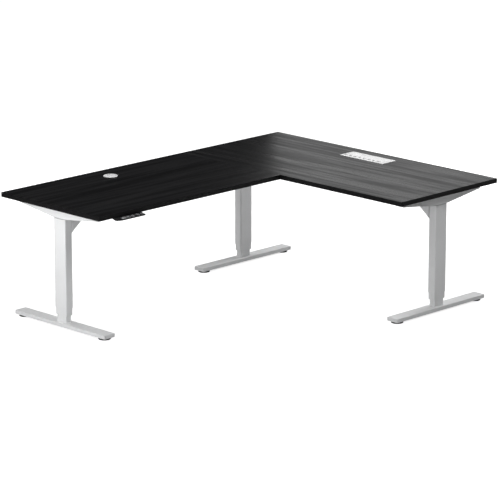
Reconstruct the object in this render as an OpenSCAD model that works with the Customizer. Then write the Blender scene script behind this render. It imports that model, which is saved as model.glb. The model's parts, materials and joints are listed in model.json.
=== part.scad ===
// Height-adjustable L-shaped standing desk: two tops on a three-column steel frame, at its lowest height.
// Millimetres, +Z up. The origin is on the floor under the middle of the whole desk.
// The main top runs along X, the return top runs along Y on the +X side, and the users stand in the inner corner.

/* [Tops] */
// Height of the work surface with every column fully down
desk_height = 675; // [650:1:700]
// Thickness of both tops
top_t = 25; // [22:1:28]
// Length of the main top along X
main_len = 1310; // [1250:5:1400]
// Depth of the main top along Y
main_depth = 760; // [740:5:800]
// Length of the return top along Y
return_len = 1635; // [1580:5:1700]
// Depth of the return top along X
return_depth = 760; // [740:5:800]
// Gap between the two tops
seam_gap = 0.8; // [0.4:0.1:1.5]

/* [Legs] */
// Distance of the left column from the left end of the main top
left_inset = 90; // [85:1:110]
// Distance of the corner column from the back edge
corner_inset = 101; // [95:1:120]
// Distance of the right column from the front end of the return top
right_inset = 82.5; // [75:0.5:100]
// Length of a foot
foot_len = 700; // [680:5:720]
// Width of a foot
foot_w = 75; // [72:1:80]
// Thickness of a foot
foot_t = 20; // [18:1:24]
// Diameter of a floor glide
glide_d = 65; // [50:1:68]
// Clear height of a foot above the floor with the glides screwed in
glide_h = 11; // [9:0.5:14]

/* [Columns] */
// Outer tube, width along the foot
outer_w = 90; // [88:1:92]
// Outer tube, depth across the foot
outer_d = 50; // [50:0.5:52]
// Middle tube, width along the foot
middle_w = 85; // [84:0.5:85]
// Middle tube, depth across the foot
middle_d = 45; // [44:0.5:45]
// Inner tube, width along the foot
inner_w = 71; // [68:0.5:72]
// Inner tube, depth across the foot
inner_d = 37; // [36:0.5:38]
// Height of inner tube left showing with the column down
inner_show = 39; // [30:1:45]
// Height of middle tube left showing with the column down
middle_show = 37; // [30:1:45]

/* [Brackets and housings] */
// Length of a side bracket
bracket_len = 610; // [600:5:640]
// Depth of a side bracket over its column
bracket_deep = 60; // [58:1:62]
// Depth of a side bracket at its tips
bracket_tip = 26; // [22:1:30]
// Reach of a motor housing from its column's centre
housing_len = 190; // [185:1:200]
// Height of the frame rails
rail_h = 40; // [40:1:42]
// Width of the frame rails
rail_w = 20; // [18:1:22]

/* [Cable passes] */
// Diameter of the grommet's flange
grommet_d = 78; // [76:1:82]
// Distance of the grommet's centre from the back edge
grommet_inset = 132; // [120:1:150]
// Length of the cable port
port_len = 318; // [316:1:330]
// Width of the cable port
port_w = 110; // [108:1:116]
// Distance of the cable port from the outer edge of the return top
port_inset = 75; // [70:1:90]
// Number of cable notches in the port's lid
notch_count = 8; // [6:1:8]
// Spacing of the cable notches
notch_pitch = 34.4; // [30:0.2:35]

/* [Keypad] */
// Length of the keypad
pad_len = 168; // [166:1:172]
// Reach of the keypad in front of the main top's front edge
pad_reach = 35; // [35:1:38]
// Distance of the keypad from the left end of the main top
pad_inset = 126; // [120:1:160]
// Slope of the keypad's face
pad_slope = 11; // [10:1:14]
// Diameter of a key
key_d = 16; // [12:0.5:17]

/* [Hidden] */
$fn = 48;
white_steel = "#e9e9ea";
black_wood = "#2a2a2c";
grey_wood = "#5c5c5e";
black_plastic = "#17171a";
white_plastic = "#f4f4f4";
zinc = "#b9bcc0";
brass = "#b59a4c";

// Levels
under_z = desk_height - top_t;
foot_top = glide_h + foot_t;
middle_z = foot_top + inner_show;
outer_z = middle_z + middle_show;
bracket_z = under_z - bracket_deep;
outer_top = bracket_z - 4;
middle_top = outer_top - 8;
inner_top = middle_top - 22;
rail_z = under_z - rail_h;

// Plan of the desk: edges of the two tops, and the columns
x0 = -(main_len + return_depth) / 2;
x1 = -x0;
y1 = return_len / 2;
y0 = -y1;
seam_x = x0 + main_len;
main_y0 = y1 - main_depth;
main_mid_y = y1 - main_depth / 2;
return_mid_x = x1 - return_depth / 2;
leg_at = [[x0 + left_inset, main_mid_y, 0], [return_mid_x, y1 - corner_inset, 0], [return_mid_x, y0 + right_inset, 0]];
leg_turn = [-90, 180, 0];

// Tubes
outer_wall = 1.5;
middle_wall = 1.5;
inner_wall = 2;
tube_r = 6.5;
slide_gap = 0.3;
bush_t = 0.7;
bush_h = 40;
plate_t = 5;

// Screws inside the columns
upper_r = 6;
lower_bore_r = 8.5;
lower_r = 11;
run_gap = 0.05;
upper_z = 60;
lower_z = 50;
collar_r = 15;
collar_h = 8;
nut_h = 30;

// Sheet metal and fasteners
sheet_t = 2.5;
housing_t = 2;
rail_t = 2;
rail_start = 60;
tie_t = 3;
screw_r = 2.5;
screw_depth = 16;
screw_head_r = 4.5;
screw_head_h = 2.5;
bolt_r = 3;
bolt_head_r = 5.5;
bolt_head_h = 4;
bolt_gap = 0.2;
foot_bolt_r = 4;
foot_bolt_head_r = 6.5;
foot_bolt_head_h = 6;
foot_wall = 2.5;
foot_bolt_u = 20;
foot_bolt_v = 8;
stem_r = 4;
glide_u = foot_len / 2 - 40;

bracket_screw_u = [-280, -140, 140, 280];
housing_deep = 138;
housing_knee_deep = 122;
housing_knee = 17;
housing_flat = 150;
housing_lip = 6;
housing_bolt_v = [90, 170];
housing_bolt_z = under_z - rail_h / 2;
rail_screw_x = [x0 + 230, x0 + 700, x0 + 1150];
rail_screw_y = [y0 + 250, y0 + 650, y0 + 1000];
seam_plate_y = [main_y0 + 110, y1 - 110];
seam_screw_x = [-45, -20, 20, 45];
seam_plate_w = 120;
seam_plate_d = 50;
seam_plate_r = 6;
tee_bolt_x = [-25, 10];
tee_reach = 55;
tee_margin = 20;
rail_mid = outer_w / 2 + rail_w / 2;
rail_end_x = return_mid_x - outer_w / 2 - rail_w;

// Gear motors
gear_z = outer_top + 2;
gear_h = 52;
gear_w = 60;
gear_d = 47;
motor_r = 24;
motor_z = gear_z + 28;
motor_reach = 115;

// Grommet
grommet_x = x0 + main_len / 2;
grommet_y = y1 - grommet_inset;
grommet_r = grommet_d / 2;
grommet_bore_r = 28;
grommet_wall = 2;
cap_r = grommet_r - 5.4;
cap_skirt_r = grommet_bore_r - 0.1;
slot_y = 18;
slot_w = 14;
slot_d = 13;
slot_r = 4;

// Cable port, in its own plan: p across from its middle towards the outer edge, q along
port_x = x1 - port_inset - port_w / 2;
port_y = 0;
port_rim_t = 1.5;
port_wall = 2;
window_p0 = -port_w / 2 + 18;
window_p1 = port_w / 2 - 10.2;
window_q = port_len / 2 - 7;
lid_t = 2;
lid_gap = 0.5;
lid_top = desk_height + 1.3;
barrel_r = 3.3;
hinge_p = window_p1 - barrel_r - 0.5;
hinge_z = lid_top - barrel_r;
pin_r = 1.5;
pin_gap = 0.06;
notch_w = 18;
notch_deep = 19;
notch_shift = 18.7;

// Keypad
pad_x0 = x0 + pad_inset;
pad_mid_x = pad_x0 + pad_len / 2;
pad_back = 50;
pad_lip = 4;
pad_corner_r = 9;
pad_screw_x = 60;
pad_gap = 0.2;
pad_z = under_z - 20;
face_y = main_y0 - pad_reach / 2;
face_z = under_z - pad_gap - pad_reach / 2 * tan(pad_slope);
key_pitch = 31;
key_first = -22.5;
key_gap = 0.3;
key_h = 5;
key_proud = 0.8;
key_travel = 1;
display_x = -55;
display_w = 38;
display_d = 18;
display_t = 1.5;

// Control box
box_x0 = x0 + 640;
box_len = 240;
box_w = 80;
box_h = 34;
ear_len = 16;
ear_w = 24;
box_r = 5;
socket_y = [-32, -17, -2];
socket_w = 10;
socket_h = 12;
pad_socket_y = 12;
pad_socket_w = 8;
inlet_w = 28;
inlet_h = 20;
socket_deep = 3;

// ---- Helpers ----

// Puts a part drawn at the origin, foot along X and desk frame towards +Y, at one of the legs
module at_leg(i) {
    translate(leg_at[i]) rotate([0, 0, leg_turn[i]]) children();
}

// Rectangle with round corners, centred
module round_rect(w, d, r) {
    square([w - 2 * r, d], center = true);
    square([w, d - 2 * r], center = true);
    for (sx = [-1, 1], sy = [-1, 1])
        translate([sx * (w / 2 - r), sy * (d / 2 - r)]) circle(r);
}

// Upright rectangular tube with round corners
module tube(w, d, wall, r, z, top) {
    translate([0, 0, z])
        linear_extrude(top - z)
            difference() {
                round_rect(w, d, r);
                round_rect(w - 2 * wall, d - 2 * wall, r - wall);
            }
}

// Channel along +X with its web at the origin side and its flanges towards +Y
module channel(len) {
    difference() {
        cube([len, rail_w, rail_h]);
        translate([-1, rail_t, rail_t]) cube([len + 2, rail_w, rail_h - 2 * rail_t]);
    }
}

// Places of the screws that hold the frame to the tops
module each_bracket_screw() {
    for (i = [0 : 2], u = bracket_screw_u)
        at_leg(i) translate([u, 0, 0]) children();
}

module each_rail_screw() {
    for (x = rail_screw_x, s = [-1, 1])
        translate([x, main_mid_y + s * rail_mid, 0]) children();
    for (y = rail_screw_y, s = [-1, 1])
        translate([return_mid_x + s * rail_mid, y, 0]) children();
}

module each_seam_screw() {
    for (x = seam_screw_x, y = seam_plate_y)
        translate([seam_x + x, y, 0]) children();
}

module each_box_screw() {
    for (x = [box_x0 - ear_len / 2, box_x0 + box_len + ear_len / 2])
        translate([x, main_mid_y, 0]) children();
}

module each_pad_screw() {
    for (s = [-1, 1])
        translate([pad_mid_x + s * pad_screw_x, main_y0 + pad_back - 12, 0]) children();
}

// Places of the bolts under the joint of the main and return rails
module each_tee_bolt() {
    for (x = tee_bolt_x, s = [-1, 1])
        translate([rail_end_x + x, main_mid_y + s * rail_mid, rail_z]) children();
}

// Places of the bolts through the rails' webs into the motor housings, pointing inwards
module each_housing_bolt() {
    for (i = [0 : 2], v = housing_bolt_v, s = [-1, 1])
        at_leg(i) translate([s * outer_w / 2, v, housing_bolt_z]) rotate([0, -s * 90, 0]) children();
}

// ---- Tops ----

module pilot_holes() {
    hole_z = under_z - 1;
    hole_h = screw_depth + 1;
    each_bracket_screw() translate([0, 0, hole_z]) cylinder(h = hole_h, r = screw_r);
    each_rail_screw() translate([0, 0, hole_z]) cylinder(h = hole_h, r = screw_r);
    each_seam_screw() translate([0, 0, hole_z]) cylinder(h = hole_h, r = screw_r);
    each_box_screw() translate([0, 0, hole_z]) cylinder(h = hole_h, r = screw_r);
    each_pad_screw() translate([0, 0, hole_z]) cylinder(h = hole_h, r = screw_r);
}

module main_top() {
    color(black_wood)
        difference() {
            translate([x0, main_y0, under_z]) cube([main_len - seam_gap / 2, main_depth, top_t]);
            translate([grommet_x, grommet_y, under_z - 1]) cylinder(h = top_t + 2, r = grommet_bore_r + grommet_wall + 0.5);
            pilot_holes();
        }
}

module return_top() {
    color(grey_wood)
        difference() {
            translate([seam_x + seam_gap / 2, y0, under_z]) cube([return_depth - seam_gap / 2, return_len, top_t]);
            translate([port_x + window_p0 - port_wall - 0.5, port_y - window_q - port_wall - 0.5, under_z - 1])
                cube([window_p1 - window_p0 + 2 * port_wall + 1, 2 * (window_q + port_wall) + 1, top_t + 2]);
            pilot_holes();
        }
}

// Flat plates under the seam and under the joint of the rails
module joining_plates() {
    color(white_steel) {
        difference() {
            for (y = seam_plate_y)
                translate([seam_x, y, under_z - tie_t]) linear_extrude(tie_t) round_rect(seam_plate_w, seam_plate_d, seam_plate_r);
            each_seam_screw() translate([0, 0, under_z - tie_t - 1]) cylinder(h = tie_t + 2, r = screw_r + bolt_gap);
        }
        difference() {
            translate([rail_end_x - tee_reach, main_mid_y - rail_mid - tee_margin, rail_z - tie_t])
                cube([outer_w + 2 * rail_w + tee_reach, 2 * (rail_mid + tee_margin), tie_t]);
            each_tee_bolt() translate([0, 0, -tie_t - 1]) cylinder(h = tie_t + 2, r = bolt_r + bolt_gap);
        }
    }
}

// ---- Frame under the tops ----

// Tapered channel across the top of a column, open downwards over the column
module side_bracket() {
    half = bracket_len / 2;
    width = outer_d + 2 * sheet_t;
    side = [
        [-half, 0], [-half, -bracket_tip], [-outer_w / 2 - 3, -bracket_deep],
        [outer_w / 2 + 3, -bracket_deep], [half, -bracket_tip], [half, 0]
    ];
    color(white_steel)
        difference() {
            translate([0, width / 2, under_z]) rotate([90, 0, 0]) linear_extrude(width) polygon(side);
            // the hollow, open at the bottom
            translate([-half + sheet_t, -outer_d / 2, bracket_z - 1])
                cube([bracket_len - 2 * sheet_t, outer_d, bracket_deep - sheet_t + 1]);
            // way through the inner side for the motor
            translate([-gear_w / 2 - 1, 0, bracket_z - 1])
                cube([gear_w + 2, width, bracket_deep - 7]);
            for (u = bracket_screw_u)
                translate([u, 0, under_z - sheet_t - 1]) cylinder(h = sheet_t + 2, r = screw_r + bolt_gap);
        }
}

module side_bracket_left() { at_leg(0) side_bracket(); }
module side_bracket_corner() { at_leg(1) side_bracket(); }
module side_bracket_right() { at_leg(2) side_bracket(); }

// Side view of a motor housing: v from the column's centre, z; inset by t
function housing_side(t) =
    let (
        face = outer_d / 2 - (t > 0 ? 1 : 0),
        lip = outer_d / 2 + sheet_t - (t > 0 ? housing_lip : 0),
        top = under_z + (t > 0 ? 1 : -0.5),
        slope_t = 1.3 * t
    )
    [
        [face, under_z - housing_deep + slope_t],
        [outer_d / 2 + housing_knee, under_z - housing_knee_deep + slope_t],
        [housing_flat - 0.3 * t, rail_z + t],
        [housing_len - t, rail_z + t],
        [housing_len - t, top],
        [lip, top],
        [lip, bracket_z - 0.3],
        [face, bracket_z - 0.3]
    ];

module housing_solid(w, t) {
    translate([-w / 2, 0, 0]) rotate([90, 0, 90]) linear_extrude(w) polygon(housing_side(t));
}

module motor_housing() {
    difference() {
        housing_solid(outer_w, 0);
        housing_solid(outer_w - 2 * housing_t, housing_t);
        for (v = housing_bolt_v, s = [-1, 1])
            translate([s * outer_w / 2, v, housing_bolt_z]) rotate([0, 90, 0])
                cylinder(h = 4 * housing_t, r = bolt_r + bolt_gap, center = true);
    }
}

module motor_housings() {
    color(white_steel) for (i = [0 : 2]) at_leg(i) motor_housing();
}

// Gearbox over the column and the motor that lies beside it in the housing
module gear_motor() {
    difference() {
        union() {
            translate([-gear_w / 2, -gear_d / 2, gear_z]) cube([gear_w, gear_d, gear_h]);
            translate([0, gear_d / 2 - 1, motor_z]) rotate([-90, 0, 0]) cylinder(h = motor_reach - gear_d / 2 + 1, r = motor_r);
        }
        translate([0, 0, gear_z - 1]) cylinder(h = 14, r = upper_r + run_gap);
    }
}

module gear_motors() {
    color(zinc) for (i = [0 : 2]) at_leg(i) gear_motor();
}

module main_rails() {
    color(white_steel)
        difference() {
            for (s = [-1, 1])
                translate([leg_at[0][0] + rail_start, main_mid_y + s * outer_w / 2, rail_z])
                    mirror([0, s < 0 ? 1 : 0, 0]) channel(rail_end_x - leg_at[0][0] - rail_start);
            each_rail_screw() translate([0, 0, under_z - rail_t - 1]) cylinder(h = rail_t + 2, r = screw_r + bolt_gap);
            each_tee_bolt() translate([0, 0, -1]) cylinder(h = rail_t + 2, r = bolt_r + bolt_gap);
            each_housing_bolt() cylinder(h = 4 * rail_t, r = bolt_r + bolt_gap, center = true);
        }
}

module return_rails() {
    color(white_steel)
        difference() {
            for (s = [-1, 1])
                translate([return_mid_x + s * outer_w / 2, leg_at[2][1] + rail_start, rail_z])
                    mirror([s > 0 ? 0 : 1, 0, 0]) rotate([0, 0, 90]) mirror([0, 1, 0])
                        channel(leg_at[1][1] - leg_at[2][1] - 2 * rail_start);
            each_rail_screw() translate([0, 0, under_z - rail_t - 1]) cylinder(h = rail_t + 2, r = screw_r + bolt_gap);
            each_tee_bolt() translate([0, 0, -1]) cylinder(h = rail_t + 2, r = bolt_r + bolt_gap);
            each_housing_bolt() cylinder(h = 4 * rail_t, r = bolt_r + bolt_gap, center = true);
        }
}

// Mains and motor controller between the main rails, with its sockets on the left end
module control_box() {
    box_z = under_z - box_h;
    color(black_plastic)
        difference() {
            union() {
                translate([box_x0 + box_len / 2, main_mid_y, box_z]) linear_extrude(box_h) round_rect(box_len, box_w, box_r);
                translate([box_x0 + box_len / 2, main_mid_y, under_z - tie_t])
                    linear_extrude(tie_t) round_rect(box_len + 2 * ear_len, ear_w, box_r);
            }
            each_box_screw() translate([0, 0, under_z - tie_t - 1]) cylinder(h = tie_t + 2, r = screw_r + bolt_gap);
            // three motor sockets, the keypad socket and the mains inlet
            for (y = socket_y)
                translate([box_x0 - 1, main_mid_y + y, box_z + 10]) cube([socket_deep + 1, socket_w, socket_h]);
            translate([box_x0 - 1, main_mid_y + pad_socket_y, box_z + 12])
                cube([socket_deep + 1, pad_socket_w, pad_socket_w]);
            translate([box_x0 + box_len - socket_deep, main_mid_y - inlet_w / 2, box_z + 6])
                cube([socket_deep + 1, inlet_w, inlet_h]);
        }
}

// ---- Keypad ----

// Puts a part drawn on its own face, X along the keypad and Z out of the face, on the sloping face
module on_face(x, y) {
    translate([pad_mid_x, face_y, face_z]) rotate([pad_slope, 0, 0]) translate([x, y, 0]) children();
}

module keypad_housing() {
    front = main_y0 - pad_reach;
    pad_top = under_z - pad_gap;
    lip_z = pad_top - pad_reach * tan(pad_slope) - pad_lip;
    side = [
        [front + 1.5, lip_z], [front, lip_z + 1.5], [front, lip_z + pad_lip], [main_y0, pad_top],
        [main_y0 + pad_back, pad_top], [main_y0 + pad_back, under_z - 10], [main_y0 + 20, pad_z], [main_y0 + 5, pad_z]
    ];
    color(black_plastic)
        difference() {
            intersection() {
                translate([pad_x0, 0, 0]) rotate([90, 0, 90]) linear_extrude(pad_len) polygon(side);
                translate([pad_mid_x, main_y0 + (pad_back - pad_reach) / 2, pad_z - 1])
                    linear_extrude(30) round_rect(pad_len, pad_back + pad_reach, pad_corner_r);
            }
            for (k = [0 : 3])
                on_face(key_first + k * key_pitch, 0) translate([0, 0, -key_h - 0.5])
                    cylinder(h = key_h + 5, d = key_d + 2 * key_gap);
            on_face(display_x, 0) translate([-display_w / 2, -display_d / 2, -display_t]) cube([display_w, display_d, 5]);
            each_pad_screw() translate([0, 0, pad_z - 1]) cylinder(h = 30, r = screw_r + bolt_gap);
            each_pad_screw() translate([0, 0, pad_z - 1]) cylinder(h = under_z - 4 - pad_z + 1, r = screw_head_r + bolt_gap);
        }
}

module keypad_display() {
    color("#70757a")
        on_face(display_x, 0) translate([-display_w / 2, -display_d / 2, -display_t])
            cube([display_w, display_d, display_t + 0.2]);
}

// Round key with a shallow dish, free to travel into its pocket
module key(k) {
    color("#2c2c30")
        on_face(key_first + k * key_pitch, 0)
            rotate_extrude()
                polygon([
                    [0, key_proud - key_h], [key_d / 2, key_proud - key_h], [key_d / 2, key_proud - 0.5],
                    [key_d / 2 - 0.5, key_proud], [key_d / 2 - 2, key_proud], [0, key_proud - 0.4]
                ]);
}

module key_down() { key(0); }
module key_up() { key(1); }
module key_one() { key(2); }
module key_two() { key(3); }

// ---- Grommet ----

module grommet_ring() {
    color(white_plastic)
        translate([grommet_x, grommet_y, desk_height])
            rotate_extrude()
                polygon([
                    [grommet_bore_r, -20], [grommet_bore_r + grommet_wall, -20], [grommet_bore_r + grommet_wall, 0],
                    [grommet_r, 0], [grommet_r - 0.8, 1.4], [grommet_r - 2.4, 2.2], [grommet_r - 5, 2.2],
                    [grommet_r - 5, 0.6], [grommet_bore_r, 0.6]
                ]);
}

// Turning cap with a slot for the cables
module grommet_cap() {
    color(white_plastic)
        translate([grommet_x, grommet_y, desk_height])
            difference() {
                rotate_extrude()
                    polygon([
                        [0, 0.9], [cap_skirt_r - 2, 0.9], [cap_skirt_r - 2, -8], [cap_skirt_r, -8],
                        [cap_skirt_r, 0.9], [cap_r, 0.9], [cap_r, 1.6], [cap_r - 0.6, 2.2], [0, 2.2]
                    ]);
                translate([0, slot_y, -1]) linear_extrude(5) round_rect(slot_w, slot_d, slot_r);
            }
}

// ---- Cable port ----

module port_frame() {
    color(white_plastic)
        translate([port_x, port_y, 0])
            difference() {
                union() {
                    translate([0, 0, desk_height]) linear_extrude(port_rim_t) round_rect(port_w, port_len, 3);
                    translate([window_p0 - port_wall, -window_q - port_wall, desk_height - 23])
                        cube([window_p1 - window_p0 + 2 * port_wall, 2 * (window_q + port_wall), 23 + port_rim_t]);
                }
                translate([window_p0, -window_q, desk_height - 30])
                    cube([window_p1 - window_p0, 2 * window_q, 40]);
                translate([hinge_p, 0, hinge_z]) rotate([90, 0, 0])
                    cylinder(h = 2 * window_q + 2 * port_wall - 1, r = pin_r, center = true);
            }
    // ledges that carry the closed lid
    color(white_plastic)
        translate([port_x, port_y, 0])
            for (s = [-1, 1])
                translate([window_p0, s > 0 ? window_q - 4 : -window_q, lid_top - lid_t - 3.1])
                    cube([hinge_p - barrel_r - 8 - window_p0, 4, 3]);
}

// Flip lid: a plate with cable notches along its front edge and a hinge barrel along its back edge
module port_lid() {
    front_p = window_p0 + lid_gap;
    half = window_q - lid_gap;
    color(white_plastic)
        translate([port_x, port_y, 0])
            difference() {
                union() {
                    translate([front_p, -half, lid_top - lid_t]) cube([hinge_p - front_p, 2 * half, lid_t]);
                    translate([hinge_p, 0, hinge_z]) rotate([90, 0, 0]) cylinder(h = 2 * half, r = barrel_r, center = true);
                }
                translate([hinge_p, 0, hinge_z]) rotate([90, 0, 0])
                    cylinder(h = 2 * half + 2, r = pin_r + pin_gap, center = true);
                for (k = [0 : notch_count - 1])
                    translate([front_p - 1, notch_shift + (k - (notch_count - 1) / 2) * notch_pitch - notch_w / 2, lid_top - lid_t - 1])
                        cube([notch_deep + 1, notch_w, lid_t + 2]);
            }
}

module port_hinge_pin() {
    color(zinc)
        translate([port_x + hinge_p, port_y, hinge_z]) rotate([90, 0, 0])
            cylinder(h = 2 * window_q + 2 * port_wall - 1, r = pin_r, center = true);
}

// ---- Fasteners of the top and frame ----

// Wood screw pointing up, its head's upper side at z
module wood_screw(z) {
    translate([0, 0, z - screw_head_h]) cylinder(h = screw_head_h, r = screw_head_r);
    translate([0, 0, z - 0.5]) cylinder(h = under_z + screw_depth - 1 - z + 0.5, r = screw_r);
}

module top_screws() {
    color(zinc) {
        each_bracket_screw() wood_screw(under_z - sheet_t);
        each_rail_screw() wood_screw(under_z - rail_t);
        each_seam_screw() wood_screw(under_z - tie_t);
        each_box_screw() wood_screw(under_z - tie_t);
        each_pad_screw() wood_screw(under_z - 4);
    }
}

// Bolt along +Z, its head under the origin
module frame_bolt(len) {
    translate([0, 0, -bolt_head_h]) cylinder(h = bolt_head_h, r = bolt_head_r);
    translate([0, 0, -0.5]) cylinder(h = len + 0.5, r = bolt_r);
}

module frame_bolts() {
    color(zinc) {
        each_tee_bolt() translate([0, 0, -tie_t]) frame_bolt(tie_t + 8);
        each_housing_bolt() translate([0, 0, -rail_t]) frame_bolt(rail_t + 8);
    }
}

// ---- Columns: outer stage, moves with the tops ----

module outer_tube() {
    color(white_steel) {
        tube(outer_w, outer_d, outer_wall, tube_r, outer_z, outer_top);
        translate([0, 0, outer_top - plate_t])
            linear_extrude(plate_t)
                difference() {
                    round_rect(outer_w - 2 * outer_wall, outer_d - 2 * outer_wall, tube_r - outer_wall);
                    circle(upper_r + 2);
                }
    }
}

module outer_tube_left() { at_leg(0) outer_tube(); }
module outer_tube_corner() { at_leg(1) outer_tube(); }
module outer_tube_right() { at_leg(2) outer_tube(); }

// Plastic sleeve inside the mouth of each outer tube
module outer_bushings() {
    color(black_plastic)
        for (i = [0 : 2])
            at_leg(i) tube(outer_w - 2 * outer_wall, outer_d - 2 * outer_wall, bush_t, tube_r - outer_wall, outer_z + 1, outer_z + bush_h);
}

module upper_screw() {
    color(zinc) translate([0, 0, upper_z]) cylinder(h = gear_z + 10 - upper_z, r = upper_r);
}

module upper_screw_left() { at_leg(0) upper_screw(); }
module upper_screw_corner() { at_leg(1) upper_screw(); }
module upper_screw_right() { at_leg(2) upper_screw(); }

// ---- Columns: middle stage ----

module middle_tube() {
    color(white_steel) tube(middle_w, middle_d, middle_wall, tube_r - 1.5, middle_z, middle_top);
}

module middle_tube_left() { at_leg(0) middle_tube(); }
module middle_tube_corner() { at_leg(1) middle_tube(); }
module middle_tube_right() { at_leg(2) middle_tube(); }

// Guide sleeve in the mouth of the middle tube, and the nut for the upper screw at its top
module middle_guide() {
    in_w = middle_w - 2 * middle_wall;
    in_d = middle_d - 2 * middle_wall;
    color(black_plastic)
        translate([0, 0, middle_z + 1])
            linear_extrude(bush_h)
                difference() {
                    round_rect(in_w, in_d, tube_r - 3);
                    round_rect(inner_w + 2 * slide_gap, inner_d + 2 * slide_gap, tube_r - 2.2);
                }
    color(brass)
        translate([0, 0, middle_top - 10.5])
            linear_extrude(10)
                difference() {
                    round_rect(in_w, in_d, tube_r - 3);
                    circle(upper_r + run_gap);
                }
}

module middle_guide_left() { at_leg(0) middle_guide(); }
module middle_guide_corner() { at_leg(1) middle_guide(); }
module middle_guide_right() { at_leg(2) middle_guide(); }

// Hollow screw that the upper screw runs down inside, with its thrust collar
module lower_screw() {
    lower_top = middle_top - 12;
    color(zinc)
        difference() {
            union() {
                translate([0, 0, lower_z]) cylinder(h = lower_top - lower_z, r = lower_r);
                translate([0, 0, lower_top - collar_h]) cylinder(h = collar_h, r = collar_r);
            }
            translate([0, 0, lower_z - 1]) cylinder(h = lower_top - lower_z + 2, r = lower_bore_r);
        }
}

module lower_screw_left() { at_leg(0) lower_screw(); }
module lower_screw_corner() { at_leg(1) lower_screw(); }
module lower_screw_right() { at_leg(2) lower_screw(); }

// ---- Columns: inner stage, stands on the foot ----

module inner_tube() {
    color(white_steel) {
        tube(inner_w, inner_d, inner_wall, tube_r - 2.5, foot_top, inner_top);
        // threaded plate welded in the tube's lower end
        difference() {
            translate([0, 0, foot_top])
                linear_extrude(plate_t + 1)
                    round_rect(inner_w - 2 * inner_wall, inner_d - 2 * inner_wall, tube_r - 4.5);
            for (u = [-foot_bolt_u, foot_bolt_u], v = [-foot_bolt_v, foot_bolt_v])
                translate([u, v, foot_top - 1]) cylinder(h = plate_t + 3, r = foot_bolt_r);
        }
    }
}

module inner_tube_left() { at_leg(0) inner_tube(); }
module inner_tube_corner() { at_leg(1) inner_tube(); }
module inner_tube_right() { at_leg(2) inner_tube(); }

module drive_nut() {
    color(brass)
        translate([0, 0, inner_top - nut_h])
            linear_extrude(nut_h)
                difference() {
                    round_rect(inner_w - 2 * inner_wall, inner_d - 2 * inner_wall, tube_r - 4.5);
                    circle(lower_r + run_gap);
                }
}

module drive_nut_left() { at_leg(0) drive_nut(); }
module drive_nut_corner() { at_leg(1) drive_nut(); }
module drive_nut_right() { at_leg(2) drive_nut(); }

// ---- Feet and glides ----

// Closed box section with a boss for each glide's stem and holes to reach the bolts from below
module foot() {
    boss_r = 9;
    color(white_steel)
        difference() {
            translate([0, 0, glide_h]) linear_extrude(foot_t) round_rect(foot_len, foot_w, 4);
            difference() {
                translate([0, 0, glide_h + foot_wall])
                    linear_extrude(foot_t - 2 * foot_wall)
                        square([foot_len - 2 * foot_wall, foot_w - 2 * foot_wall], center = true);
                for (s = [-1, 1])
                    translate([s * glide_u, 0, glide_h]) cylinder(h = foot_t, r = boss_r);
            }
            for (s = [-1, 1])
                translate([s * glide_u, 0, glide_h - 1]) cylinder(h = foot_t - foot_wall + 1, r = stem_r + run_gap);
            for (u = [-foot_bolt_u, foot_bolt_u], v = [-foot_bolt_v, foot_bolt_v])
                translate([u, v, 0]) {
                    cylinder(h = foot_top + 1, r = foot_bolt_r);
                    translate([0, 0, glide_h - 1]) cylinder(h = foot_wall + 2, r = foot_bolt_head_r + 1);
                }
        }
}

module foot_left() { at_leg(0) foot(); }
module foot_corner() { at_leg(1) foot(); }
module foot_right() { at_leg(2) foot(); }

module foot_bolts() {
    head_top = foot_top - foot_wall;
    color(zinc)
        for (u = [-foot_bolt_u, foot_bolt_u], v = [-foot_bolt_v, foot_bolt_v])
            translate([u, v, 0]) {
                translate([0, 0, head_top - foot_bolt_head_h]) cylinder(h = foot_bolt_head_h, r = foot_bolt_head_r);
                translate([0, 0, head_top - 1]) cylinder(h = foot_wall + plate_t + 2, r = foot_bolt_r);
            }
}

module foot_bolts_left() { at_leg(0) foot_bolts(); }
module foot_bolts_corner() { at_leg(1) foot_bolts(); }
module foot_bolts_right() { at_leg(2) foot_bolts(); }

// Levelling glide: a round pad and its threaded stem, one above the other
module glide(s) {
    pad_r = glide_d / 2;
    color(black_plastic)
        translate([s * glide_u, 0, 0])
            rotate_extrude()
                polygon([
                    [0, 0], [pad_r - 1.5, 0], [pad_r, 1.5], [pad_r, glide_h - 4], [pad_r - 3, glide_h - 0.5],
                    [stem_r, glide_h - 0.5], [stem_r, foot_top - foot_wall - 0.5], [0, foot_top - foot_wall - 0.5]
                ]);
}

module glide_left_front() { at_leg(0) glide(1); }
module glide_left_back() { at_leg(0) glide(-1); }
module glide_corner_inner() { at_leg(1) glide(1); }
module glide_corner_outer() { at_leg(1) glide(-1); }
module glide_right_inner() { at_leg(2) glide(-1); }
module glide_right_outer() { at_leg(2) glide(1); }

// ---- One line for each node ----

main_top();
return_top();
joining_plates();
side_bracket_left();
side_bracket_corner();
side_bracket_right();
motor_housings();
gear_motors();
outer_tube_left();
outer_tube_corner();
outer_tube_right();
outer_bushings();
main_rails();
return_rails();
control_box();
keypad_housing();
keypad_display();
key_down();
key_up();
key_one();
key_two();
grommet_ring();
grommet_cap();
port_frame();
port_lid();
port_hinge_pin();
top_screws();
frame_bolts();
upper_screw_left();
upper_screw_corner();
upper_screw_right();
lower_screw_left();
lower_screw_corner();
lower_screw_right();
middle_tube_left();
middle_tube_corner();
middle_tube_right();
middle_guide_left();
middle_guide_corner();
middle_guide_right();
inner_tube_left();
inner_tube_corner();
inner_tube_right();
drive_nut_left();
drive_nut_corner();
drive_nut_right();
foot_left();
foot_corner();
foot_right();
foot_bolts_left();
foot_bolts_corner();
foot_bolts_right();
glide_left_front();
glide_left_back();
glide_corner_inner();
glide_corner_outer();
glide_right_inner();
glide_right_outer();
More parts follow.
